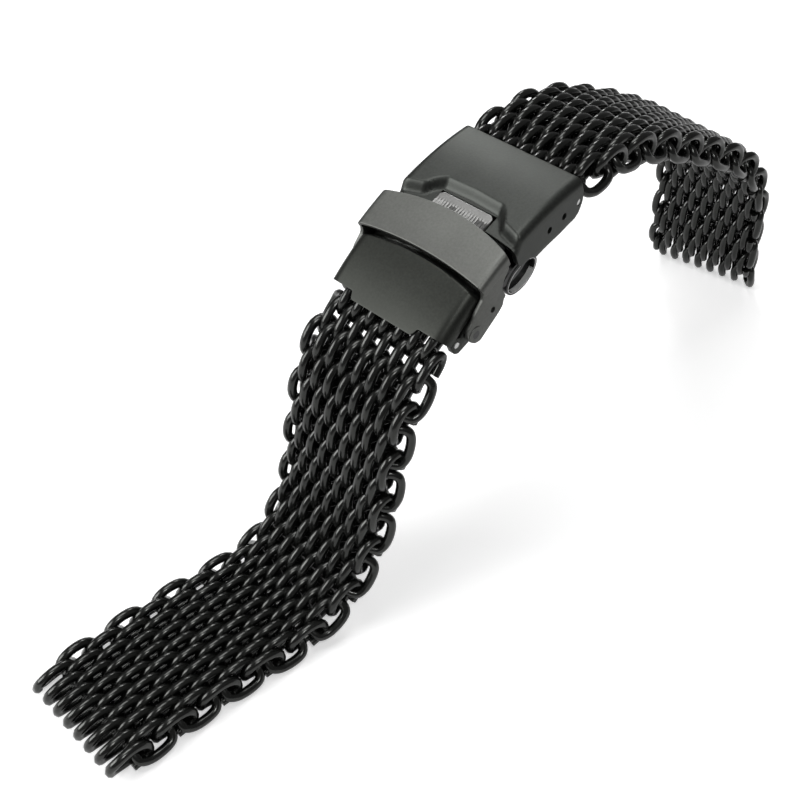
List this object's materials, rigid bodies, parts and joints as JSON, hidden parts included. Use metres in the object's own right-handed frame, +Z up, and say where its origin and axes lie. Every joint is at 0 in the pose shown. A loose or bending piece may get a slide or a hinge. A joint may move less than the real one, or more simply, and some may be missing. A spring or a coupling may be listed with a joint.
{
  "type": "mesh watch bracelet with fold-over clasp",
  "caption": "Watch bracelet of hooked flat wire coils in two strap halves, joined by a curved fold-over clasp with a flip-over lock and adjustment holes",
  "frame": {"origin": "under the middle of the draped bracelet, on the table", "axes": "+X along the strap from the lower free end over the clasp to the upper free end, +Y across the strap, +Z up"},
  "size_m": [0.135, 0.0274, 0.0504],
  "materials": {
    "mesh_wire": "black coated round wire, glossy",
    "clasp_sheet": "black coated sheet, satin",
    "lock_sheet": "black coated sheet, satin, lighter",
    "clasp_blade": "black coated strip, satin",
    "pin_steel": "dark turned pins"
  },
  "bodies": {
    "clasp_base": {"end_piece": "clasp_sheet", "lower_blade": "clasp_blade", "lower_spring_bar": "pin_steel", "blade_hinge_pin": "pin_steel", "lock_rivets": "pin_steel"},
    "middle_link": {"middle_blade": "clasp_blade", "cover_hinge_pin": "pin_steel"},
    "cover_body": {"cover": "clasp_sheet", "upper_spring_bar": "pin_steel"},
    "lock_body": {"flip_lock": "lock_sheet"},
    "row_lower_00": {"mesh_lower_00": "mesh_wire"},
    "row_lower_01": {"mesh_lower_01": "mesh_wire"},
    "row_lower_02": {"mesh_lower_02": "mesh_wire"},
    "row_lower_03": {"mesh_lower_03": "mesh_wire"},
    "row_lower_04": {"mesh_lower_04": "mesh_wire"},
    "row_lower_05": {"mesh_lower_05": "mesh_wire"},
    "row_lower_06": {"mesh_lower_06": "mesh_wire"},
    "row_lower_07": {"mesh_lower_07": "mesh_wire"},
    "row_lower_08": {"mesh_lower_08": "mesh_wire"},
    "row_lower_09": {"mesh_lower_09": "mesh_wire"},
    "row_lower_10": {"mesh_lower_10": "mesh_wire"},
    "row_lower_11": {"mesh_lower_11": "mesh_wire"},
    "row_lower_12": {"mesh_lower_12": "mesh_wire"},
    "row_lower_13": {"mesh_lower_13": "mesh_wire"},
    "row_lower_14": {"mesh_lower_14": "mesh_wire"},
    "row_lower_15": {"mesh_lower_15": "mesh_wire"},
    "row_lower_16": {"mesh_lower_16": "mesh_wire"},
    "row_lower_17": {"mesh_lower_17": "mesh_wire"},
    "row_lower_18": {"mesh_lower_18": "mesh_wire"},
    "row_lower_19": {"mesh_lower_19": "mesh_wire"},
    "row_lower_20": {"mesh_lower_20": "mesh_wire"},
    "row_lower_21": {"mesh_lower_21": "mesh_wire"},
    "row_upper_00": {"mesh_upper_00": "mesh_wire"},
    "row_upper_01": {"mesh_upper_01": "mesh_wire"},
    "row_upper_02": {"mesh_upper_02": "mesh_wire"},
    "row_upper_03": {"mesh_upper_03": "mesh_wire"},
    "row_upper_04": {"mesh_upper_04": "mesh_wire"},
    "row_upper_05": {"mesh_upper_05": "mesh_wire"},
    "row_upper_06": {"mesh_upper_06": "mesh_wire"},
    "row_upper_07": {"mesh_upper_07": "mesh_wire"},
    "row_upper_08": {"mesh_upper_08": "mesh_wire"},
    "row_upper_09": {"mesh_upper_09": "mesh_wire"},
    "row_upper_10": {"mesh_upper_10": "mesh_wire"},
    "row_upper_11": {"mesh_upper_11": "mesh_wire"},
    "row_upper_12": {"mesh_upper_12": "mesh_wire"},
    "row_upper_13": {"mesh_upper_13": "mesh_wire"},
    "row_upper_14": {"mesh_upper_14": "mesh_wire"},
    "row_upper_15": {"mesh_upper_15": "mesh_wire"},
    "row_upper_16": {"mesh_upper_16": "mesh_wire"},
    "row_upper_17": {"mesh_upper_17": "mesh_wire"},
    "row_upper_18": {"mesh_upper_18": "mesh_wire"},
    "row_upper_19": {"mesh_upper_19": "mesh_wire"},
    "row_upper_20": {"mesh_upper_20": "mesh_wire"},
    "row_upper_21": {"mesh_upper_21": "mesh_wire"},
    "row_upper_22": {"mesh_upper_22": "mesh_wire"},
    "row_upper_23": {"mesh_upper_23": "mesh_wire"}
  },
  "joints": [
    {"name": "flip_lock_open", "type": "hinge", "parent": "clasp_base", "child": "lock_body", "pos_m": [-0.01173, -0.0016, 0.03911], "axis": [0, -1, 0], "range_deg": [0, 80]},
    {"name": "clasp_unfold", "type": "hinge", "parent": "clasp_base", "child": "middle_link", "pos_m": [0.01026, -0.0016, 0.04367], "axis": [0, 1, 0], "range_deg": [0, 165]},
    {"name": "cover_follow", "type": "hinge", "parent": "middle_link", "child": "cover_body", "pos_m": [-0.0026, -0.0016, 0.04225], "axis": [0, 1, 0], "range_deg": [-165, 0]},
    {"name": "lower_on_bar", "type": "hinge", "parent": "clasp_base", "child": "row_lower_21", "pos_m": [-0.01424, -0.0016, 0.0386], "axis": [0, 1, 0], "range_deg": [-14, 3]},
    {"name": "upper_on_bar", "type": "hinge", "parent": "cover_body", "child": "row_upper_00", "pos_m": [0.00807, -0.0016, 0.04727], "axis": [0, 1, 0], "range_deg": [-15, 20]},
    {"name": "lower_flex_20", "type": "hinge", "parent": "row_lower_21", "child": "row_lower_20", "pos_m": [-0.01649, -0.00159, 0.03715], "axis": [0.0055, 1, 0], "range_deg": [-6.28, 29.73]},
    {"name": "lower_flex_19", "type": "hinge", "parent": "row_lower_20", "child": "row_lower_19", "pos_m": [-0.01905, -0.00156, 0.03493], "axis": [-0.0165, -0.9999, 0], "range_deg": [-29.73, 6.28]},
    {"name": "lower_flex_18", "type": "hinge", "parent": "row_lower_19", "child": "row_lower_18", "pos_m": [-0.02111, -0.00152, 0.03225], "axis": [0.0274, 0.9996, 0], "range_deg": [-6.28, 29.73]},
    {"name": "lower_flex_17", "type": "hinge", "parent": "row_lower_18", "child": "row_lower_17", "pos_m": [-0.02257, -0.00148, 0.0292], "axis": [-0.0384, -0.9993, 0], "range_deg": [-29.73, 6.28]},
    {"name": "lower_flex_16", "type": "hinge", "parent": "row_lower_17", "child": "row_lower_16", "pos_m": [-0.02355, -0.00144, 0.02594], "axis": [0.0493, 0.9988, 0], "range_deg": [-16.93, 19.07]},
    {"name": "lower_flex_15", "type": "hinge", "parent": "row_lower_16", "child": "row_lower_15", "pos_m": [-0.02431, -0.00139, 0.0226], "axis": [-0.0603, -0.9982, 0], "range_deg": [-19.07, 16.93]},
    {"name": "lower_flex_14", "type": "hinge", "parent": "row_lower_15", "child": "row_lower_14", "pos_m": [-0.02501, -0.00135, 0.01926], "axis": [0.0713, 0.9975, 0], "range_deg": [-16.93, 19.07]},
    {"name": "lower_flex_13", "type": "hinge", "parent": "row_lower_14", "child": "row_lower_13", "pos_m": [-0.02578, -0.00129, 0.01593], "axis": [-0.0848, -0.9964, 0], "range_deg": [-10.4, 25.6]},
    {"name": "lower_flex_12", "type": "hinge", "parent": "row_lower_13", "child": "row_lower_12", "pos_m": [-0.02685, -0.00118, 0.0127], "axis": [0.1009, 0.9949, 0], "range_deg": [-25.6, 10.4]},
    {"name": "lower_flex_11", "type": "hinge", "parent": "row_lower_12", "child": "row_lower_11", "pos_m": [-0.02833, -0.00102, 0.00964], "axis": [-0.117, -0.9931, 0], "range_deg": [-10.4, 25.6]},
    {"name": "lower_flex_10", "type": "hinge", "parent": "row_lower_11", "child": "row_lower_10", "pos_m": [-0.03027, -0.00077, 0.00687], "axis": [0.1331, 0.9911, 0], "range_deg": [-32.1, 3.9]},
    {"name": "lower_flex_09", "type": "hinge", "parent": "row_lower_10", "child": "row_lower_09", "pos_m": [-0.03273, -0.00041, 0.0046], "axis": [-0.1492, -0.9888, 0], "range_deg": [-3.9, 32.1]},
    {"name": "lower_flex_08", "type": "hinge", "parent": "row_lower_09", "child": "row_lower_08", "pos_m": [-0.03567, 0.00006, 0.00301], "axis": [0.1652, 0.9863, 0], "range_deg": [-32.1, 3.9]},
    {"name": "lower_flex_07", "type": "hinge", "parent": "row_lower_08", "child": "row_lower_07", "pos_m": [-0.03888, 0.00062, 0.00219], "axis": [-0.1811, -0.9835, 0], "range_deg": [-3.9, 32.1]},
    {"name": "lower_flex_06", "type": "hinge", "parent": "row_lower_07", "child": "row_lower_06", "pos_m": [-0.04222, 0.00124, 0.00198], "axis": [0.18, 0.9837, 0], "range_deg": [-18, 18]},
    {"name": "lower_flex_05", "type": "hinge", "parent": "row_lower_06", "child": "row_lower_05", "pos_m": [-0.04559, 0.00182, 0.00198], "axis": [-0.1618, -0.9868, 0], "range_deg": [-18, 18]},
    {"name": "lower_flex_04", "type": "hinge", "parent": "row_lower_05", "child": "row_lower_04", "pos_m": [-0.04897, 0.00234, 0.00198], "axis": [0.1436, 0.9896, 0], "range_deg": [-18, 18]},
    {"name": "lower_flex_03", "type": "hinge", "parent": "row_lower_04", "child": "row_lower_03", "pos_m": [-0.05236, 0.0028, 0.00198], "axis": [-0.1253, -0.9921, 0], "range_deg": [-18, 18]},
    {"name": "lower_flex_02", "type": "hinge", "parent": "row_lower_03", "child": "row_lower_02", "pos_m": [-0.05576, 0.0032, 0.00198], "axis": [0.107, 0.9943, 0], "range_deg": [-18, 18]},
    {"name": "lower_flex_01", "type": "hinge", "parent": "row_lower_02", "child": "row_lower_01", "pos_m": [-0.05916, 0.00353, 0.00198], "axis": [-0.0886, -0.9961, 0], "range_deg": [-18, 18]},
    {"name": "lower_flex_00", "type": "hinge", "parent": "row_lower_01", "child": "row_lower_00", "pos_m": [-0.06257, 0.00381, 0.00198], "axis": [0.0703, 0.9975, 0], "range_deg": [-18, 18]},
    {"name": "upper_flex_00", "type": "hinge", "parent": "row_upper_00", "child": "row_upper_01", "pos_m": [0.01089, -0.0016, 0.04795], "axis": [0.004, 1, 0], "range_deg": [-26.67, 9.33]},
    {"name": "upper_flex_01", "type": "hinge", "parent": "row_upper_01", "child": "row_upper_02", "pos_m": [0.01427, -0.00163, 0.04839], "axis": [-0.012, -0.9999, 0], "range_deg": [-9.33, 26.67]},
    {"name": "upper_flex_02", "type": "hinge", "parent": "row_upper_02", "child": "row_upper_03", "pos_m": [0.01767, -0.00169, 0.04832], "axis": [0.02, 0.9998, 0], "range_deg": [-26.67, 9.33]},
    {"name": "upper_flex_03", "type": "hinge", "parent": "row_upper_03", "child": "row_upper_04", "pos_m": [0.02103, -0.00177, 0.04778], "axis": [-0.028, -0.9996, 0], "range_deg": [-12.87, 23.13]},
    {"name": "upper_flex_04", "type": "hinge", "parent": "row_upper_04", "child": "row_upper_05", "pos_m": [0.02432, -0.00187, 0.0469], "axis": [0.036, 0.9994, 0], "range_deg": [-23.13, 12.87]},
    {"name": "upper_flex_05", "type": "hinge", "parent": "row_upper_05", "child": "row_upper_06", "pos_m": [0.02753, -0.002, 0.04572], "axis": [-0.044, -0.999, 0], "range_deg": [-12.87, 23.13]},
    {"name": "upper_flex_06", "type": "hinge", "parent": "row_upper_06", "child": "row_upper_07", "pos_m": [0.03064, -0.00215, 0.04431], "axis": [0.052, 0.9986, 0], "range_deg": [-19.17, 16.83]},
    {"name": "upper_flex_07", "type": "hinge", "parent": "row_upper_07", "child": "row_upper_08", "pos_m": [0.03369, -0.00232, 0.04279], "axis": [-0.06, -0.9982, 0], "range_deg": [-16.83, 19.17]},
    {"name": "upper_flex_08", "type": "hinge", "parent": "row_upper_08", "child": "row_upper_09", "pos_m": [0.03672, -0.00251, 0.0412], "axis": [0.0679, 0.9977, 0], "range_deg": [-19.17, 16.83]},
    {"name": "upper_flex_09", "type": "hinge", "parent": "row_upper_09", "child": "row_upper_10", "pos_m": [0.0397, -0.00273, 0.03956], "axis": [-0.0759, -0.9971, 0], "range_deg": [-16.83, 19.17]},
    {"name": "upper_flex_10", "type": "hinge", "parent": "row_upper_10", "child": "row_upper_11", "pos_m": [0.04266, -0.00296, 0.03785], "axis": [0.0839, 0.9965, 0], "range_deg": [-19.17, 16.83]},
    {"name": "upper_flex_11", "type": "hinge", "parent": "row_upper_11", "child": "row_upper_12", "pos_m": [0.04557, -0.00322, 0.03608], "axis": [-0.0919, -0.9958, 0], "range_deg": [-16.83, 19.17]},
    {"name": "upper_flex_12", "type": "hinge", "parent": "row_upper_12", "child": "row_upper_13", "pos_m": [0.04841, -0.00347, 0.0342], "axis": [0.0842, 0.9965, 0], "range_deg": [-23.85, 12.15]},
    {"name": "upper_flex_13", "type": "hinge", "parent": "row_upper_13", "child": "row_upper_14", "pos_m": [0.05109, -0.00367, 0.03209], "axis": [-0.0607, -0.9982, 0], "range_deg": [-12.15, 23.85]},
    {"name": "upper_flex_14", "type": "hinge", "parent": "row_upper_14", "child": "row_upper_15", "pos_m": [0.05354, -0.00379, 0.02972], "axis": [0.0373, 0.9993, 0], "range_deg": [-23.85, 12.15]},
    {"name": "upper_flex_15", "type": "hinge", "parent": "row_upper_15", "child": "row_upper_16", "pos_m": [0.05574, -0.00385, 0.02711], "axis": [-0.0138, -0.9999, 0], "range_deg": [-12.15, 23.85]},
    {"name": "upper_flex_16", "type": "hinge", "parent": "row_upper_16", "child": "row_upper_17", "pos_m": [0.05762, -0.00386, 0.02428], "axis": [-0.0097, 1, 0], "range_deg": [-26.32, 9.68]},
    {"name": "upper_flex_17", "type": "hinge", "parent": "row_upper_17", "child": "row_upper_18", "pos_m": [0.05911, -0.00383, 0.02122], "axis": [0.0332, -0.9995, 0], "range_deg": [-9.68, 26.32]},
    {"name": "upper_flex_18", "type": "hinge", "parent": "row_upper_18", "child": "row_upper_19", "pos_m": [0.06014, -0.00379, 0.01798], "axis": [-0.0566, 0.9984, 0], "range_deg": [-26.32, 9.68]},
    {"name": "upper_flex_19", "type": "hinge", "parent": "row_upper_19", "child": "row_upper_20", "pos_m": [0.06069, -0.00376, 0.01462], "axis": [0.08, -0.9968, 0], "range_deg": [-9.68, 26.32]},
    {"name": "upper_flex_20", "type": "hinge", "parent": "row_upper_20", "child": "row_upper_21", "pos_m": [0.06102, -0.00373, 0.01123], "axis": [-0.1034, 0.9946, 0], "range_deg": [-8.33, 27.67]},
    {"name": "upper_flex_21", "type": "hinge", "parent": "row_upper_21", "child": "row_upper_22", "pos_m": [0.06164, -0.00365, 0.00789], "axis": [0.1268, -0.9919, 0], "range_deg": [-27.67, 8.33]},
    {"name": "upper_flex_22", "type": "hinge", "parent": "row_upper_22", "child": "row_upper_23", "pos_m": [0.06281, -0.00348, 0.00471], "axis": [-0.15, 0.9887, 0], "range_deg": [-8.33, 27.67]}
  ],
  "couplings": [
    {"joint": "cover_follow", "follows": "clasp_unfold", "ratio": -1}
  ]
}
